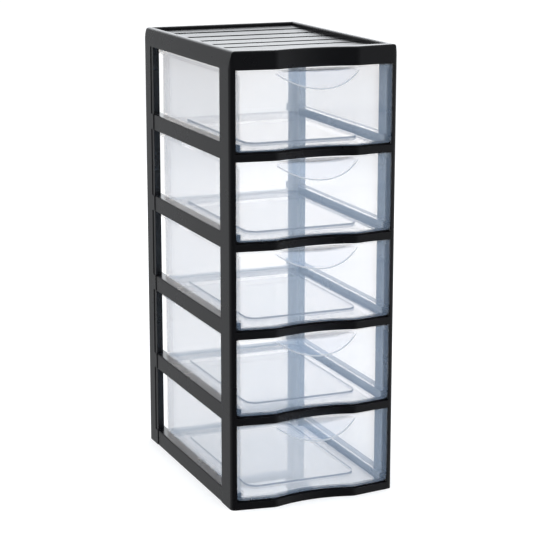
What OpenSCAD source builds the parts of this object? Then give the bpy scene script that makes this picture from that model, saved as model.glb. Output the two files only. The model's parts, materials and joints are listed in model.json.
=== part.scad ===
// Storage tower of five stacked tier frames under a lid, with five clear drawers.
// The front faces -Y, and the origin is at the middle of the footprint on the floor.

/* [Tower] */
// Width over the posts
tower_w = 260; // [240:1:320]
// Depth from the front ridges to the back
tower_d = 380; // [340:1:460]
// Height of one tier
tier_h = 129; // [110:1:180]
// Wall of the black mouldings
wall = 2.5; // [2:0.1:3.2]

/* [Wavy front] */
// Distance of each front ridge from the middle
ridge_x = 64; // [55:1:75]
// Radius of the front ridges
ridge_r = 22; // [20:1:28]
// How far the dip between the ridges lies behind them
dish_back = 10; // [8:0.5:12]
// How far the front corners lie behind the ridges
corner_back = 8; // [6:0.5:10]
// Radius of the upright corners
corner_r = 8; // [8:0.5:11]

/* [Tier frame] */
// Height of the side rails
rail_h = 24; // [21:0.5:30]
// How far the side rails lie behind the faces of the posts
rail_inset = 1; // [0.4:0.1:1.5]
// Rounding along the top of the side rails
rail_round = 2; // [1:0.1:2.2]
// Reach of the side ledge inward from the side of the tower
ledge_w = 18; // [16:0.5:20]
// Height of the inner lip under the side ledge
lip_h = 11; // [6:0.5:12]
// Height of the front rail's face
front_h = 11; // [9:0.5:12]
// Depth of the front and rear rails
front_d = 14; // [12:0.5:16]
// Height of the step behind the foot of the drawer front
step_h = 4; // [3.6:0.1:5]
// Gap between the front panel and that step
step_gap = 2.5; // [1.5:0.1:4]
// Depth of the posts along the sides
post_d = 41; // [34:1:48]
// Depth of the posts across, inside the tower
post_w = 11; // [9:0.5:11]
// Width of the front lip of the front posts
post_lip = 8.5; // [8:0.1:10]
// Width of the strip that is stepped in along the rear posts
post_strip = 10; // [6:0.5:14]
// Width of the rear flange of the rear posts
post_flange = 14; // [12:0.5:18]
// Height of the plug on top of each post
plug_h = 7.5; // [5:0.5:8]
// Clearance round each plug
plug_gap = 0.3; // [0.2:0.05:0.5]
// Thickness of the stiffening ribs
rib_t = 1.6; // [1.2:0.1:2]
// Number of ribs under each side ledge
rib_count = 7; // [3:1:12]

/* [Lid] */
// Height of the lid
lid_h = 27; // [24:0.5:34]
// Lean of the lid's sides at their top
lid_lean = 3; // [1:0.1:3.5]
// Rounding along the top of the lid
lid_round = 5; // [3:0.1:6]
// Width of the raised rim round the top
lid_rim = 13; // [11:0.5:18]
// Depth of the slats below the rim at the front and the back
slat_drop = 5; // [3:0.1:6]
// How much further the slats sag in the middle
slat_sag = 3; // [1:0.1:4]
// Depth of the grooves between the slats
groove_drop = 3; // [1.5:0.1:3.5]
// Width of the grooves between the slats
groove_w = 12; // [6:0.5:16]
// Number of slats
slat_count = 7; // [5:1:9]

/* [Drawer] */
// Wall of the clear mouldings
clear_wall = 2; // [1.6:0.1:2.4]
// Thickness of the front panel
panel_t = 2.5; // [2:0.1:3]
// How far the front panel lies behind the rails
panel_back = 2; // [1:0.1:2.5]
// Gap between the front panel and the posts
panel_gap = 0.6; // [0.4:0.1:1]
// Gap between the drawer and the rail above
top_gap = 2; // [1.5:0.1:4]
// Gap under the foot of the front panel
foot_gap = 3; // [2:0.1:3.5]
// Radius of the lower corners of the front panel
panel_r = 6; // [3:0.5:9]
// Clearance under the floor and the runners
run_gap = 0.3; // [0.2:0.05:0.6]
// Sideways clearance of the rim between the posts
side_gap = 1; // [0.6:0.1:1.5]
// Width of each runner on its ledge
runner_w = 3.5; // [3:0.1:4]
// Height of the stepped rim
rim_h = 8.5; // [6:0.5:12]
// Reach of the rim beyond the side walls
rim_out = 2.5; // [2.2:0.1:3]
// Reach of the rim beyond the back wall
rim_rear = 11; // [4:0.5:14]
// Space behind the drawer up to the back of the tower
rear_space = 27; // [20:1:60]
// Radius of the tray's rear corners
tray_r = 12; // [9:0.5:16]
// Rise of the raised part of the floor
floor_rise = 3; // [2:0.1:4]
// Border of the floor along its sides and back
floor_border = 24; // [16:1:34]
// Border of the floor along its front
floor_front = 46; // [36:1:60]
// Corner radius of the raised part of the floor
floor_r = 18; // [10:1:24]

/* [Grip] */
// Half the width of the grip
grip_half = 69; // [62:1:74]
// How far the grip stands in front of the ridges
grip_reach = 22; // [16:0.5:28]
// How far the ends of the grip sink into the face of the ridges
grip_sink = 2; // [1.6:0.1:2.4]
// Height of the grip at its middle
grip_h = 26.5; // [24:0.5:34]
// Height of the grip at its ends
grip_end_h = 1; // [0.5:0.1:4]
// Rounding along the top of the grip
grip_round = 7; // [4:0.5:9]

/* [Hidden] */
$fn = 96;
tiers = 5;
overlap = 0.01;
tuck = 0.003;
past = 1;
sag_fn = 1440;

frame_colour = "#2b2b2e";
clear_colour = "#c9d6e4";

// Places along the depth, with the footprint centred on the origin
ridge_y = (grip_reach - tower_d) / 2;
back_y = ridge_y + tower_d;
corner_y = ridge_y + corner_back;
half_w = tower_w / 2;

// Centres and touching directions of the arcs of the front outline, measured from the ridge line
dish_r = (ridge_x * ridge_x + dish_back * dish_back) / (2 * dish_back) - ridge_r;
dish_c = [0, dish_back - dish_r];
ridge_c = [ridge_x, ridge_r];
corner_c = [half_w - corner_r, corner_back + corner_r];
rear_c = [half_w - corner_r, tower_d - corner_r];
dish_angle = atan2(ridge_c.y - dish_c.y, ridge_c.x);
flank_span = corner_c - ridge_c;
flank_angle = atan2(flank_span.y, flank_span.x) - acos((ridge_r - corner_r) / norm(flank_span));
to_dish = -[cos(dish_angle), sin(dish_angle)];
to_flank = [cos(flank_angle), sin(flank_angle)];

// Heights in one tier
step_top = front_h + step_h;
floor_z = step_top + run_gap;
runner_z = rail_h + run_gap;
foot_z = front_h + foot_gap;
drawer_top = tier_h - top_gap;
rim_z = drawer_top - rim_h;
lid_straight = plug_h + plug_gap;
lean_rise = (lid_h - lid_round - lid_straight) / lid_lean;

// Places of the step in the front rail and of the post returns
step_u = panel_back + panel_t + step_gap;
post_front_y = corner_y + post_d;
post_rear_y = back_y - post_d;

// Slats of the lid inside its raised rim
slat_x = half_w - lid_rim;
slat_y0 = ridge_y + dish_back + lid_rim;
slat_y1 = back_y - lid_rim;
slat_pitch = (slat_y1 - slat_y0 + groove_w) / slat_count;
slat_top = lid_h - slat_drop;
sag_span = (slat_y1 - slat_y0) / 2;
sag_r = (sag_span * sag_span + slat_sag * slat_sag) / (2 * slat_sag);

// Sides of the drawer, worked out from the posts and ledges
rim_x = half_w - post_w - side_gap;
tray_x = rim_x - rim_out;
low_x = tray_x - runner_w - run_gap;
panel_x = half_w - post_lip - panel_gap;
rim_y = back_y - rear_space;
tray_y = rim_y - rim_rear;
low_y = tray_y - runner_w;

// Space that the grip takes up in front of the dip of the panel
grip_depth = grip_reach + dish_back + panel_back + panel_t;

// Where two lines meet that touch a circle in the directions a and b
function meeting(c, r, a, b) = c + r * (a + b) / (1 + a * b);

// What a corner loses when it is rounded between two touching directions
module corner_loss(c, r, a, b) {
    difference() {
        polygon([c, c + (r + past) * a, meeting(c, r + past, a, b), c + (r + past) * b]);
        translate(c)
            circle(r + tuck);
    }
}

// Outline of the tower's plan, drawn in by d from the outside
module plan(d = 0) {
    dish_touch = ridge_c + (ridge_r - d) * to_dish;
    half = [rear_c + (corner_r - d) * [1, 1], meeting(corner_c, corner_r - d, to_flank, [1, 0]),
        meeting(ridge_c, ridge_r - d, to_flank, to_dish), dish_touch];
    other_half = [for (i = [3 : -1 : 0]) [-half[i].x, half[i].y]];
    translate([0, ridge_y])
        difference() {
            polygon(concat(half, other_half));
            translate(dish_c)
                circle(dish_r + d + tuck);
            for (s = [0, 1])
                mirror([s, 0]) {
                    corner_loss(ridge_c, ridge_r - d, to_dish, to_flank);
                    if (corner_r > d) {
                        corner_loss(corner_c, corner_r - d, to_flank, [1, 0]);
                        corner_loss(rear_c, corner_r - d, [1, 0], [0, 1]);
                    }
                }
        }
}

// Band of the plan from d_out to d_in inside its outline
module plan_band(d_out, d_in) {
    difference() {
        plan(d_out);
        plan(d_in);
    }
}

// Upright wall along the wavy front, between two heights
module front_wall(d_out, d_in, z0, z1) {
    translate([0, 0, z0])
        linear_extrude(z1 - z0)
            intersection() {
                plan_band(d_out, d_in);
                span(-corner_c.x, ridge_y - past, corner_c.x, ridge_y + dish_back + front_d + past);
            }
}

// Rectangle of a section, from its lower corner to its upper corner
module span(x0, y0, x1, y1) {
    translate([x0, y0])
        square([x1 - x0, y1 - y0]);
}

// Rectangle with a round upper corner towards the outside
module round_span(x0, y0, x1, y1, r) {
    span(x0 + r, y0, x1, y1);
    span(x0, y0, x0 + r, y1 - r);
    translate([x0 + r, y1 - r])
        circle(r);
}

// Copies its children onto both sides of the tower
module both_sides() {
    for (s = [0, 1])
        mirror([s, 0, 0])
            children();
}

// Section of the side rail's outer wall
module side_wall_section() {
    round_span(rail_inset, 0, rail_inset + 2 * wall, rail_h, rail_round);
}

// Section of the ledge that carries the drawer, with its inner lip
module ledge_section() {
    span(wall / 2, rail_h - wall, ledge_w, rail_h);
    span(ledge_w - wall, rail_h - lip_h, ledge_w, rail_h);
}

// Front rail: hollow below, with a step behind the foot of the drawer front
module front_rail() {
    front_wall(0, wall, 0, front_h - wall);
    front_wall(front_d - wall, front_d, 0, front_h - wall);
    front_wall(0, front_d, front_h - wall, front_h);
    front_wall(step_u, front_d, front_h, step_top);
}

// Rear rail between the rear posts, hollow below
module rear_rail() {
    translate([rear_c.x, back_y, 0])
        rotate([90, 0, -90])
            linear_extrude(2 * rear_c.x)
                difference() {
                    round_span(0, 0, front_d, front_h, rail_round);
                    span(wall, -past, front_d - wall, front_h - wall);
                }
}

// Band of the plan within the reach of a front post
module front_post_plan(d_out, d_in, depth) {
    intersection() {
        plan_band(d_out, d_in);
        span(half_w - post_lip, ridge_y, half_w, corner_y + depth);
    }
}

// Band of the plan within the reach of a rear post
module rear_post_plan(d_out, d_in, depth) {
    intersection() {
        plan_band(d_out, d_in);
        span(half_w - post_flange, back_y - depth, half_w, back_y);
    }
}

// Both posts of one side, hollow towards the inside, with the plugs on their tops
module posts() {
    return_x = half_w - post_w;
    plug_out = wall + plug_gap;
    plug_in = plug_out + wall;
    linear_extrude(tier_h) {
        front_post_plan(0, wall, post_d);
        span(return_x, post_front_y - wall, half_w, post_front_y);
    }
    difference() {
        linear_extrude(tier_h) {
            rear_post_plan(0, wall, post_d);
            span(return_x, post_rear_y, half_w, post_rear_y + wall);
        }
        translate([half_w - rail_inset, post_rear_y - past, rail_h])
            cube([rail_inset + past, post_strip + past, tier_h]);
    }
    translate([0, 0, tier_h - plug_h])
        linear_extrude(plug_h) {
            front_post_plan(wall / 2, plug_in, post_d - wall / 2);
            rear_post_plan(wall / 2, plug_in, post_d - wall / 2);
        }
    translate([0, 0, tier_h - plug_h])
        linear_extrude(2 * plug_h) {
            front_post_plan(plug_out, plug_in, post_d - plug_out);
            rear_post_plan(plug_out, plug_in, post_d - plug_out);
        }
}

// Side rail between the posts, and the ledge that runs from the front rail to the back
module side_rail() {
    ledge_y = corner_y + step_u;
    rib_pitch = (post_rear_y - post_front_y) / (rib_count + 1);
    rib_x = half_w - ledge_w + wall / 2;
    translate([half_w, post_front_y - wall / 2, 0])
        rotate([90, 0, 180])
            linear_extrude(post_rear_y - post_front_y + wall)
                difference() {
                    side_wall_section();
                    span(rail_inset + wall, -past, half_w, rail_h - wall);
                }
    translate([half_w, ledge_y, 0])
        rotate([90, 0, 180])
            linear_extrude(back_y - wall / 2 - ledge_y)
                difference() {
                    ledge_section();
                    span(0, 0, rail_inset + wall, rail_h + past);
                }
    for (i = [1 : rib_count])
        translate([rib_x, post_front_y + i * rib_pitch - rib_t / 2, rail_h - lip_h])
            cube([half_w - rail_inset - wall / 2 - rib_x, rib_t, lip_h - wall / 2]);
}

module tier_frame(i) {
    color(frame_colour)
        translate([0, 0, (i - 1) * tier_h]) {
            front_rail();
            rear_rail();
            both_sides() {
                posts();
                side_rail();
            }
        }
}

// Half section of the lid's outside: upright over the plugs, leaning in above, with a rounded top edge
module lid_half_section(reach) {
    side = reach - lid_lean;
    polygon([[0, 0], [reach + past, 0], [reach + past, lid_straight - past * lean_rise],
        [side, lid_h - lid_round], [0, lid_h - lid_round]]);
    span(0, 0, side - lid_round, lid_h);
    translate([side - lid_round, lid_h - lid_round])
        circle(lid_round);
}

// Outside of the lid, with the lean and the rounding on its sides and back
module lid_outside() {
    intersection() {
        linear_extrude(lid_h + past)
            plan(0);
        both_sides()
            translate([0, back_y + past, 0])
                rotate([90, 0, 0])
                    linear_extrude(tower_d + 2 * past)
                        lid_half_section(half_w);
        translate([-half_w - past, 0, 0])
            rotate([90, 0, 90])
                linear_extrude(tower_w + 2 * past) {
                    lid_half_section(back_y);
                    span(ridge_y - past, 0, overlap, lid_h);
                }
    }
}

// Space over the sagging top of the slats, let down by d
module over_slats(d) {
    translate([0, slat_y0 + sag_span, slat_top - slat_sag + sag_r])
        rotate([0, 90, 0])
            cylinder(h = tower_w + 2 * past, r = sag_r + d, center = true, $fn = sag_fn);
}

// Space above the slats and in the grooves between them
module lid_recess() {
    intersection() {
        translate([-slat_x, slat_y0, 0])
            cube([2 * slat_x, slat_y1 - slat_y0, lid_h + past]);
        over_slats(0);
    }
    for (i = [1 : slat_count - 1])
        intersection() {
            translate([-slat_x, slat_y0 + i * slat_pitch - groove_w, 0])
                cube([2 * slat_x, groove_w, lid_h + past]);
            over_slats(groove_drop);
        }
}

// Space under the lid: above the plugs, under the raised rim and under each slat
module lid_hollow() {
    translate([0, 0, -past])
        linear_extrude(lid_straight + past)
            plan(wall);
    difference() {
        linear_extrude(slat_top)
            plan(wall + lid_lean);
        over_slats(groove_drop + wall);
    }
    linear_extrude(lid_h - wall)
        difference() {
            plan(lid_lean + lid_round);
            span(-slat_x - wall, slat_y0 - wall, slat_x + wall, slat_y1 + wall);
        }
    for (i = [0 : slat_count - 1])
        difference() {
            translate([wall - slat_x, slat_y0 + i * slat_pitch + wall, 0])
                cube([2 * (slat_x - wall), slat_pitch - groove_w - 2 * wall, slat_top]);
            over_slats(wall);
        }
}

module lid() {
    color(frame_colour)
        translate([0, 0, tiers * tier_h])
            difference() {
                lid_outside();
                lid_hollow();
                lid_recess();
            }
}

// Plan of the tray at one level: open to the front, with rounded rear corners
module tray_plan(x, y, r) {
    span(-x, ridge_y, x, y - r);
    span(r - x, ridge_y, x - r, y);
    for (s = [-1, 1])
        translate([s * (x - r), y - r])
            circle(r);
}

// Solid between two heights, with the plan of the tray drawn in by d and ended at the front panel
module tray_level(x, y, d, z0, z1, panel_d) {
    translate([0, 0, z0])
        linear_extrude(z1 - z0)
            intersection() {
                tray_plan(x - d, y - d, tray_r - d);
                plan(panel_d);
            }
}

// The tray's lower part, its walls and its stepped rim, drawn in by d and raised by the same
module tray_body(d, panel_d, top) {
    tray_level(low_x, low_y, d, floor_z + d, runner_z + d + overlap, panel_d);
    tray_level(tray_x, tray_y, d, runner_z + d, rim_z + d + overlap, panel_d);
    tray_level(rim_x, rim_y, d, rim_z + d, top, panel_d);
}

// Front panel with rounded lower corners
module front_panel() {
    intersection() {
        translate([0, 0, foot_z])
            linear_extrude(drawer_top - foot_z)
                plan_band(panel_back, panel_back + panel_t);
        translate([0, ridge_y + dish_back + panel_back + 2 * panel_t, 0])
            rotate([90, 0, 0])
                linear_extrude(2 * (dish_back + panel_back + panel_t)) {
                    span(-panel_x, foot_z + panel_r, panel_x, drawer_top);
                    span(panel_r - panel_x, foot_z, panel_x - panel_r, drawer_top);
                    for (s = [-1, 1])
                        translate([s * (panel_x - panel_r), foot_z + panel_r])
                            circle(panel_r);
                }
    }
}

// Plan of the raised part of the floor, drawn in by d
module raised_plan(d) {
    x = low_x - floor_border - d;
    y0 = ridge_y + floor_front + d;
    y1 = low_y - floor_border - d;
    r = floor_r - d;
    span(r - x, y0, x - r, y1);
    span(-x, y0 + r, x, y1 - r);
    for (sx = [-1, 1], y = [y0 + r, y1 - r])
        translate([sx * (x - r), y])
            circle(r);
}

// Section of the hooded grip about its own upright axis, drawn in by d
module grip_section(r, d) {
    span(r - grip_depth, -2 * grip_h, r - grip_round, -d);
    span(r - grip_depth, -2 * grip_h, r - d, -grip_round);
    translate([r - grip_round, -grip_round])
        circle(grip_round - d);
}

// Hooded grip: a bowed wall with a round top and an arched lower edge, open below
module grip() {
    bow = grip_reach + panel_back + grip_sink;
    bow_r = (grip_half * grip_half + bow * bow) / (2 * bow);
    arch = grip_h - grip_end_h;
    arch_r = (grip_half * grip_half + arch * arch) / (2 * arch);
    half_angle = asin(grip_half / bow_r);
    difference() {
        intersection() {
            translate([0, ridge_y - grip_reach + bow_r, drawer_top])
                rotate([0, 0, -90 - half_angle])
                    rotate_extrude(angle = 2 * half_angle)
                        difference() {
                            grip_section(bow_r, 0);
                            grip_section(bow_r, clear_wall);
                        }
            translate([0, ridge_y + dish_back + panel_back + panel_t, drawer_top - grip_h + arch_r])
                rotate([90, 0, 0])
                    cylinder(h = grip_depth + panel_t, r = arch_r);
        }
        linear_extrude(tier_h)
            plan(panel_back + panel_t / 2);
    }
}

module drawer(i) {
    color(clear_colour)
        translate([0, 0, (i - 1) * tier_h])
            difference() {
                union() {
                    difference() {
                        union() {
                            front_panel();
                            tray_body(0, panel_back + panel_t / 2, drawer_top);
                        }
                        tray_body(clear_wall, panel_back + panel_t, drawer_top + past);
                    }
                    translate([0, 0, floor_z])
                        linear_extrude(clear_wall + floor_rise)
                            raised_plan(0);
                    grip();
                }
                translate([0, 0, floor_z - past])
                    linear_extrude(floor_rise + past)
                        raised_plan(clear_wall);
            }
}

lid();
for (i = [1 : tiers]) {
    tier_frame(i);
    drawer(i);
}
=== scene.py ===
"""A storage tower of black stacked frames and clear drawers, dressed for a studio photograph."""

import json
import math

import bmesh
import bpy
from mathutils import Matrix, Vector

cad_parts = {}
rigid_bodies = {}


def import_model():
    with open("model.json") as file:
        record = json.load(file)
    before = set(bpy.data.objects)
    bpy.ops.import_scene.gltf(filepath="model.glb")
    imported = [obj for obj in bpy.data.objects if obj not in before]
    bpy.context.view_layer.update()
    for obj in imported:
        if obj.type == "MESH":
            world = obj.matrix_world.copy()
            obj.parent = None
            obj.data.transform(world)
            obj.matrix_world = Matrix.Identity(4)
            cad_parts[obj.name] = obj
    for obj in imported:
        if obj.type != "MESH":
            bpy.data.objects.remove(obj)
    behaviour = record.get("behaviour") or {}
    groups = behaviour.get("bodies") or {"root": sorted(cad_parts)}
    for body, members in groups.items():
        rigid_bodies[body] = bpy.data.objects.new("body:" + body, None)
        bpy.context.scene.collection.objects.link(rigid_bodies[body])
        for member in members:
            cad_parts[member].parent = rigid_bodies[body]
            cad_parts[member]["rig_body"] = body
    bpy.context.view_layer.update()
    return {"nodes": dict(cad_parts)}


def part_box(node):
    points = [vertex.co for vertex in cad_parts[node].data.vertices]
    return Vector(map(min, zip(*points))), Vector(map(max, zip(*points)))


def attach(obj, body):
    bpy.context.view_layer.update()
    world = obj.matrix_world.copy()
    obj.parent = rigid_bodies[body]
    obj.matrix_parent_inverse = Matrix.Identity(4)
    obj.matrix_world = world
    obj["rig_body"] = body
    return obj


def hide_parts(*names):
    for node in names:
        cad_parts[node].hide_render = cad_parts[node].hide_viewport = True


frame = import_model()

# Tier frames: five equal injection mouldings of black satin polypropylene, stacked on their plugs.
# Each is a ring of four hollow rails with four channel-shaped posts standing on it.
# The mould leaves a small radius on every edge and a very fine grain on the faces.
MILLIMETRE = 0.001
frame_names = [name for name in frame["nodes"] if name.startswith("tier_frame_")]
weld_reach = 0.002 * MILLIMETRE
flat_turn = math.radians(0.6)
crease_turn = math.radians(9)
corner_turn = math.radians(35)
broad_face = 4 * MILLIMETRE
edge_radius = 0.6 * MILLIMETRE
edge_steps = 2
rim_steps = 4
round_profile = 0.5
satin_specular = 0.45
satin_roughness = (0.24, 0.32)
satin_tints = ((0.0034, 0.0034, 0.0042, 1), (0.0050, 0.0050, 0.0062, 1))
satin_scale = 14.0
satin_detail = 4.0
grain_scale = 1600.0
grain_detail = 2.0
grain_strength = 0.08
grain_depth = 0.1 * MILLIMETRE


def face_breadth(face):
    """How broad a face is: about the width of a long strip."""
    return 2 * face.calc_area() / face.calc_perimeter()


def sharp_edges(work):
    """The edges of a mesh at which two faces meet in a clear corner."""
    return [edge for edge in work.edges if edge.is_manifold and edge.calc_face_angle() > corner_turn]


def round_off(work, edges, radius, steps):
    """Rounds edges of a mesh and gives back the faces of the rounding."""
    rounding = bmesh.ops.bevel(work, geom=edges, offset=radius, offset_type="OFFSET", segments=steps,
                               profile=round_profile, affect="EDGES", clamp_overlap=True,
                               harden_normals=False)
    return rounding["faces"]


def rounded_copy(name, node, radius, edge_slot=0, rim_foot=None, rim_radius=0.0):
    """A copy of a node's solid with its flat faces made whole and its sharp edges rounded.

    The faces of the rounding take the material of edge_slot.
    Edges that lie wholly above rim_foot are first rounded by the broader rim_radius, and the mesh
    is then read back, which puts its faces in the same order on every run.
    """
    mesh = frame["nodes"][node].data.copy()
    work = bmesh.new()
    work.from_mesh(mesh)
    bmesh.ops.remove_doubles(work, verts=work.verts, dist=weld_reach)
    bmesh.ops.dissolve_limit(work, angle_limit=flat_turn, verts=work.verts, edges=work.edges)
    if rim_foot is not None:
        rim_edges = [edge for edge in sharp_edges(work)
                     if min(corner.co.z for corner in edge.verts) > rim_foot]
        round_off(work, rim_edges, rim_radius, rim_steps)
        work.to_mesh(mesh)
        work.clear()
        work.from_mesh(mesh)
    for edge in work.edges:
        if (edge.is_manifold and crease_turn < edge.calc_face_angle() <= corner_turn
                and min(face_breadth(face) for face in edge.link_faces) > broad_face):
            edge.smooth = False
    rounding = round_off(work, sharp_edges(work), radius, edge_steps)
    for face in work.faces:
        face.smooth = True
    for face in rounding:
        face.material_index = edge_slot
    work.to_mesh(mesh)
    work.free()
    mesh.materials.clear()
    piece = bpy.data.objects.new(name, mesh)
    bpy.context.scene.collection.objects.link(piece)
    level = piece.modifiers.new("level_normals", "WEIGHTED_NORMAL")
    level.keep_sharp = True
    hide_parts(node)
    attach(piece, frame["nodes"][node]["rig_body"])
    return piece


def uneven(tree, scale, detail):
    """A share from 0 to 1 that drifts over a piece like clouds."""
    place = tree.nodes.new("ShaderNodeTexCoord")
    cloud = tree.nodes.new("ShaderNodeTexNoise")
    cloud.inputs["Scale"].default_value = scale
    cloud.inputs["Detail"].default_value = detail
    tree.links.new(place.outputs["Object"], cloud.inputs["Vector"])
    return cloud.outputs["Fac"]


def level_between(tree, share, low, high):
    """A number that goes from low to high as a share goes from 0 to 1."""
    level = tree.nodes.new("ShaderNodeMapRange")
    level.inputs["To Min"].default_value = low
    level.inputs["To Max"].default_value = high
    tree.links.new(share, level.inputs["Value"])
    return level.outputs["Result"]


def tint_between(tree, share, first, last):
    """A colour that goes from the first to the last as a share goes from 0 to 1."""
    tint = tree.nodes.new("ShaderNodeMix")
    tint.data_type = "RGBA"
    tint.inputs["A"].default_value = first
    tint.inputs["B"].default_value = last
    tree.links.new(share, tint.inputs["Factor"])
    return tint.outputs["Result"]


def black_plastic(name):
    """Black satin plastic with a fine moulded grain and slightly uneven gloss."""
    material = bpy.data.materials.new(name)
    material.use_nodes = True
    tree = material.node_tree
    surface = tree.nodes["Principled BSDF"]
    surface.inputs["Specular IOR Level"].default_value = satin_specular
    cloud = uneven(tree, satin_scale, satin_detail)
    tree.links.new(level_between(tree, cloud, *satin_roughness), surface.inputs["Roughness"])
    tree.links.new(tint_between(tree, cloud, *satin_tints), surface.inputs["Base Color"])
    grain = tree.nodes.new("ShaderNodeBump")
    grain.inputs["Strength"].default_value = grain_strength
    grain.inputs["Distance"].default_value = grain_depth
    tree.links.new(uneven(tree, grain_scale, grain_detail), grain.inputs["Height"])
    tree.links.new(grain.outputs["Normal"], surface.inputs["Normal"])
    return material


black = black_plastic("black_satin_plastic")
for node in frame_names:
    shell = rounded_copy(node + "_moulding", node, edge_radius)
    shell.data.materials.append(black)

# Lid: one more moulding of the same black plastic, pushed onto the plugs of the top frame.
# Seven slightly sagging slats lie below its rim with grooves between them.
# The top of the rim is rounded more softly than the other edges.
lid_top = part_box("lid")[1][2]
rim_radius = 3 * MILLIMETRE
rim_slack = 0.2 * MILLIMETRE
lid_shell = rounded_copy("lid_moulding", "lid", edge_radius, rim_foot=lid_top - rim_slack,
                         rim_radius=rim_radius)
lid_shell.data.materials.append(black)

# Drawers: five equal mouldings of clear polystyrene, each a tray with a wavy front and a hooded grip.
# Each rests with its runners on the ledges of its frame and slides out to the front.
# The walls carry painted light and shade: the front is painted clearest and the back haziest.
# The rounded edges and a band along the grip's lip carry a painted highlight as pale lines, and the step of
# the raised floor carries a painted shade as darker lines.
drawer_names = [name for name in frame["nodes"] if name.startswith("drawer_")]
tray_edge_radius = 0.9 * MILLIMETRE
front_depth = 42 * MILLIMETRE
back_depth = 30 * MILLIMETRE
floor_top = 8 * MILLIMETRE
riser_foot = 3.8 * MILLIMETRE
riser_half_width = 95 * MILLIMETRE
riser_front = 55 * MILLIMETRE
upright = 0.5
grip_reach = 22 * MILLIMETRE
grip_half_width = 69 * MILLIMETRE
grip_height = 26.5 * MILLIMETRE
grip_end_height = 1 * MILLIMETRE
grip_foot = 86.5 * MILLIMETRE
# Width of the band of pale painted highlight along the grip's lower edge.
lip_highlight_width = 1.5 * MILLIMETRE
haze_scale = 30.0
haze_detail = 5.0
haze_sent_back = 0.5
skin_roughness = (0.02, 0.06)
mirror_straight_on = 0.02
mirror_power = 5.0
shadow_tint = (0.95, 0.96, 0.97, 1)


def feed(tree, socket, term):
    """Gives a socket a plain value, or the output of another node."""
    if isinstance(term, bpy.types.NodeSocket):
        tree.links.new(term, socket)
    else:
        socket.default_value = term


def reckon(tree, operation, *terms):
    """A step of arithmetic on plain values and outputs of nodes."""
    step = tree.nodes.new("ShaderNodeMath")
    step.operation = operation
    for socket, term in zip(step.inputs, terms):
        feed(tree, socket, term)
    return step.outputs["Value"]


def coloured(tree, kind, colour):
    """A shader of one kind in a plain colour, or in the colour that a node gives."""
    shader = tree.nodes.new(kind)
    feed(tree, shader.inputs["Color"], colour)
    return shader.outputs["BSDF"]


def blend(tree, share, first, last):
    """All of the first shader at a share of 0, and all of the last at a share of 1."""
    mix = tree.nodes.new("ShaderNodeMixShader")
    feed(tree, mix.inputs["Fac"], share)
    tree.links.new(first, mix.inputs[1])
    tree.links.new(last, mix.inputs[2])
    return mix.outputs["Shader"]


def clear_plastic(name, passed, thin_haze, thick_haze):
    """Thin clear plastic that scatters some bluish light and lets the rest through.

    It mirrors more towards a glancing view, and its shadow is almost none.
    """
    material = bpy.data.materials.new(name)
    material.use_nodes = True
    tree = material.node_tree
    tree.nodes.remove(tree.nodes["Principled BSDF"])
    path = tree.nodes.new("ShaderNodeLightPath")
    cloud = uneven(tree, haze_scale, haze_detail)
    haze = tint_between(tree, cloud, thin_haze, thick_haze)
    milk = blend(tree, haze_sent_back, coloured(tree, "ShaderNodeBsdfTranslucent", haze),
                 coloured(tree, "ShaderNodeBsdfDiffuse", haze))
    body = tree.nodes.new("ShaderNodeAddShader")
    tree.links.new(coloured(tree, "ShaderNodeBsdfTransparent", passed), body.inputs[0])
    tree.links.new(milk, body.inputs[1])
    skin = tree.nodes.new("ShaderNodeBsdfGlossy")
    tree.links.new(level_between(tree, cloud, *skin_roughness), skin.inputs["Roughness"])
    facing = tree.nodes.new("ShaderNodeLayerWeight")
    glance = reckon(tree, "POWER", facing.outputs["Facing"], mirror_power)
    mirror = reckon(tree, "MULTIPLY_ADD", glance, 1 - mirror_straight_on, mirror_straight_on)
    shown = reckon(tree, "MULTIPLY", mirror, path.outputs["Is Camera Ray"])
    shiny = blend(tree, shown, body.outputs["Shader"], skin.outputs["BSDF"])
    shaded = coloured(tree, "ShaderNodeBsdfTransparent", shadow_tint)
    finish = blend(tree, path.outputs["Is Shadow Ray"], shiny, shaded)
    tree.links.new(finish, tree.nodes["Material Output"].inputs["Surface"])
    return material


# Copies of one clear plastic, one for each wall and edge. Their haze and see-through levels carry painted
# light and shade: the front is painted clearest and the back haziest, to match how light falls on each
# wall.
tray_light_and_shade_copies = [
    clear_plastic("clear_sides_painted_light", passed=(0.82, 0.795, 0.77, 1),
                  thin_haze=(0.165, 0.190, 0.220, 1), thick_haze=(0.178, 0.204, 0.236, 1)),
    # The rounded edges: mostly opaque and pale, a painted highlight for the light that edges of clear
    # plastic catch.
    clear_plastic("clear_edges_painted_highlight", passed=(0.15, 0.15, 0.15, 1),
                  thin_haze=(0.58, 0.59, 0.61, 1), thick_haze=(0.64, 0.65, 0.67, 1)),
    # The step of the raised floor: darker and less clear, a painted shade for the dark outlines it shows.
    clear_plastic("clear_riser_painted_shade", passed=(0.18, 0.18, 0.18, 1),
                  thin_haze=(0.13, 0.14, 0.16, 1), thick_haze=(0.17, 0.18, 0.20, 1)),
    clear_plastic("clear_front_painted_light", passed=(0.92, 0.90, 0.875, 1),
                  thin_haze=(0.068, 0.090, 0.122, 1), thick_haze=(0.076, 0.100, 0.134, 1)),
    clear_plastic("clear_back_painted_light", passed=(0.75, 0.73, 0.71, 1),
                  thin_haze=(0.255, 0.277, 0.300, 1), thick_haze=(0.265, 0.287, 0.310, 1)),
    clear_plastic("clear_floor_painted_light", passed=(0.74, 0.73, 0.72, 1),
                  thin_haze=(0.120, 0.135, 0.150, 1), thick_haze=(0.132, 0.148, 0.164, 1)),
]
side_painted_light, edge_painted_highlight, riser_painted_shade, front_painted_light, back_painted_light, floor_painted_light = range(len(tray_light_and_shade_copies))


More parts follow.
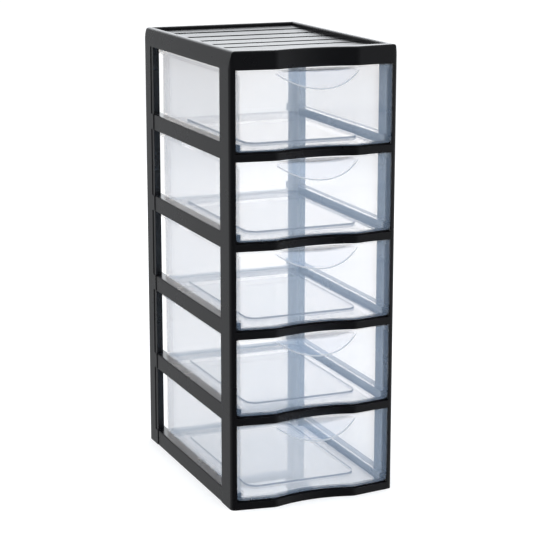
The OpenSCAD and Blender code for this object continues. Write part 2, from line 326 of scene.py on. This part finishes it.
def finish_of(face, low, high):
    """The copy of the clear finish, with its painted light, shade or highlight, that a face of a tray
    takes, told by where it lies and which way it faces.
    """
    from_front = face.center.y - low[1]
    from_back = high[1] - face.center.y
    height = face.center.z - low[2]
    stands = abs(face.normal.z) < upright
    on_edge = face.material_index == edge_painted_highlight
    by_riser = (riser_foot < height < floor_top and abs(face.center.x) < riser_half_width
                and from_front > riser_front and from_back > back_depth)
    # The riser's standing faces and its edges take the painted shade.
    if by_riser and (on_edge or stands):
        return riser_painted_shade
    if on_edge:
        return edge_painted_highlight
    if from_front < front_depth:
        return front_painted_light
    if height < floor_top and not stands:
        return floor_painted_light
    if from_back < back_depth:
        return back_painted_light
    return side_painted_light


def paint_grip_lip_highlight(mesh, low):
    """Cuts a narrow band along the arched lower edge of the grip and gives it the edge finish, a pale
    painted highlight.
    """
    work = bmesh.new()
    work.from_mesh(mesh)
    arch = grip_height - grip_end_height
    arch_radius = (grip_half_width ** 2 + arch ** 2) / (2 * arch)
    arch_middle = low[2] + grip_foot + arch_radius
    grip_back = low[1] + grip_reach

    def past_band(point):
        return math.hypot(point.x, point.z - arch_middle) - (arch_radius - lip_highlight_width)

    cuts = []
    for edge in list(work.edges):
        first, last = edge.verts
        before, after = past_band(first.co), past_band(last.co)
        if max(first.co.y, last.co.y) < grip_back and before * after < 0:
            cuts.append(bmesh.utils.edge_split(edge, first, before / (before - after))[1])
    bmesh.ops.connect_verts(work, verts=cuts)
    for face in work.faces:
        furthest_back = max(corner.co.y for corner in face.verts)
        if furthest_back < grip_back and past_band(face.calc_center_median()) > 0:
            face.material_index = edge_painted_highlight
    work.to_mesh(mesh)
    work.free()


for node in drawer_names:
    tray = rounded_copy(node + "_moulding", node, tray_edge_radius, edge_painted_highlight)
    tray_low, tray_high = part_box(node)
    # Each face takes the copy for its wall, with that wall's painted light and shade.
    for face in tray.data.polygons:
        face.material_index = finish_of(face, tray_low, tray_high)
    for finish in tray_light_and_shade_copies:
        tray.data.materials.append(finish)
    paint_grip_lip_highlight(tray.data, tray_low)

# Studio floor: a wide sheet of pale paper that the tower stands on.
# It glows a little towards the camera, so that it looks white and still keeps the soft shadow.
floor_reach = 12.0
paper_near = 0.35
paper_far = 1.1
paper_shades = (0.64, 0.55)
paper_glows = (0.45, 0.55)
paper_roughness = 0.9
white = (1, 1, 1, 1)


def soft_step(tree, value, start, end, low, high):
    """A number that goes smoothly from low to high as a value goes from start to end."""
    step = tree.nodes.new("ShaderNodeMapRange")
    step.interpolation_type = "SMOOTHSTEP"
    step.inputs["From Min"].default_value = start
    step.inputs["From Max"].default_value = end
    step.inputs["To Min"].default_value = low
    step.inputs["To Max"].default_value = high
    tree.links.new(value, step.inputs["Value"])
    return step.outputs["Result"]


def white_paper(name):
    """Matt white paper, slightly darker away from the tower, with a glow that only the camera sees."""
    material = bpy.data.materials.new(name)
    material.use_nodes = True
    tree = material.node_tree
    surface = tree.nodes["Principled BSDF"]
    surface.inputs["Roughness"].default_value = paper_roughness
    surface.inputs["Specular IOR Level"].default_value = 0.0
    surface.inputs["Emission Color"].default_value = white
    place = tree.nodes.new("ShaderNodeTexCoord")
    away = tree.nodes.new("ShaderNodeVectorMath")
    away.operation = "LENGTH"
    tree.links.new(place.outputs["Object"], away.inputs[0])
    shade = soft_step(tree, away.outputs["Value"], paper_near, paper_far, *paper_shades)
    tree.links.new(shade, surface.inputs["Base Color"])
    path = tree.nodes.new("ShaderNodeLightPath")
    glow = soft_step(tree, away.outputs["Value"], paper_near, paper_far, *paper_glows)
    lift = reckon(tree, "MULTIPLY", path.outputs["Is Camera Ray"], glow)
    tree.links.new(lift, surface.inputs["Emission Strength"])
    return material


floor_mesh = bpy.data.meshes.new("studio_floor")
floor_corners = [(-floor_reach, -floor_reach, 0), (floor_reach, -floor_reach, 0),
                 (floor_reach, floor_reach, 0), (-floor_reach, floor_reach, 0)]
floor_mesh.from_pydata(floor_corners, [], [range(len(floor_corners))])
floor_mesh.materials.append(white_paper("white_paper"))
floor = bpy.data.objects.new("studio_floor", floor_mesh)
bpy.context.scene.collection.objects.link(floor)
floor.visible_glossy = False

# Surround: an even white studio that lights the tower from all round.
# In mirrored light it is dim at the sides, nearly dark in front and brightest straight behind.
surround_tint = (0.96, 0.98, 1, 1)
surround_level = 1.0
towards_front = (-0.45, -0.89, 0)
front_start = 0.1
front_end = 0.9
side_mirrored = 0.4
front_mirrored = 0.03
rear_end = -0.95
rear_start = -0.7
rear_mirrored = 0.6

world = bpy.data.worlds.new("white_studio")
bpy.context.scene.world = world
world.use_nodes = True
studio = world.node_tree
surround = studio.nodes["Background"]
surround.inputs["Color"].default_value = surround_tint
direction = studio.nodes.new("ShaderNodeTexCoord")
frontness = studio.nodes.new("ShaderNodeVectorMath")
frontness.operation = "DOT_PRODUCT"
frontness.inputs[1].default_value = towards_front
studio.links.new(direction.outputs["Generated"], frontness.inputs[0])
sides = soft_step(studio, frontness.outputs["Value"], front_start, front_end, side_mirrored, front_mirrored)
rear = soft_step(studio, frontness.outputs["Value"], rear_end, rear_start, rear_mirrored, 0.0)
ray = studio.nodes.new("ShaderNodeLightPath")
brightness = studio.nodes.new("ShaderNodeMix")
brightness.inputs["A"].default_value = surround_level
studio.links.new(ray.outputs["Is Glossy Ray"], brightness.inputs["Factor"])
studio.links.new(reckon(studio, "ADD", sides, rear), brightness.inputs["B"])
studio.links.new(brightness.outputs["Result"], surround.inputs["Strength"])

# Light boxes: five soft boxes with a slightly cool light, left, right, in front, above and behind.
# The first three aren't mirrored in the plastic, so the blacks and the clear fronts stay clean.
box_tint = (0.93, 0.96, 1.0)
tower_middle = (0, 0, 0.34)
rear_aim = (0, 0, 0.45)


def light_box(name, place, aim, width, height, power):
    """A soft light box that faces a point."""
    lamp = bpy.data.lights.new(name, "AREA")
    lamp.shape = "RECTANGLE"
    lamp.size = width
    lamp.size_y = height
    lamp.energy = power
    lamp.color = box_tint
    box = bpy.data.objects.new(name, lamp)
    box.location = place
    way = [end - start for end, start in zip(aim, place)]
    across = math.hypot(way[0], way[1])
    box.rotation_euler = (math.atan2(across, -way[2]), 0, math.atan2(-way[0], way[1]))
    box.visible_camera = False
    bpy.context.scene.collection.objects.link(box)
    return box


left_box = light_box("left_box", place=(-2.2, 0.2, 1.3), aim=tower_middle,
                     width=1.6, height=2.0, power=10)
right_box = light_box("right_box", place=(2.2, -1.2, 1.2), aim=tower_middle,
                      width=1.4, height=1.8, power=10)
front_box = light_box("front_box", place=(-0.6, -3.0, 1.1), aim=tower_middle,
                      width=2.4, height=2.0, power=24)
for box in (left_box, right_box, front_box):
    box.visible_glossy = False
light_box("top_box", place=(0, 0.6, 2.6), aim=tower_middle, width=2.2, height=2.2, power=13)
light_box("rear_box", place=(0.95, 2.3, 1.2), aim=rear_aim, width=2.8, height=1.6, power=18)

# Camera: it stands a little to the left of the fronts and looks slightly down through a long lens.
# Light has to pass many clear walls, so it may bounce and pass through often.
view_azimuth = math.radians(-22.433)
view_elevation = math.radians(13.154)
camera_place = (-1.04742, -2.53928, 0.95598)
camera_lens = 122.605
sensor_width = 36.0
most_bounces = 32
most_clear_walls = 64

camera_data = bpy.data.cameras.new("studio_camera")
camera_data.lens = camera_lens
camera_data.sensor_width = sensor_width
camera = bpy.data.objects.new("studio_camera", camera_data)
camera.location = camera_place
camera.rotation_euler = (math.pi / 2 - view_elevation, 0, view_azimuth)
bpy.context.scene.collection.objects.link(camera)
bpy.context.scene.camera = camera
bpy.context.scene.view_settings.view_transform = "Standard"
bpy.context.scene.cycles.max_bounces = most_bounces
bpy.context.scene.cycles.transmission_bounces = most_bounces
bpy.context.scene.cycles.transparent_max_bounces = most_clear_walls
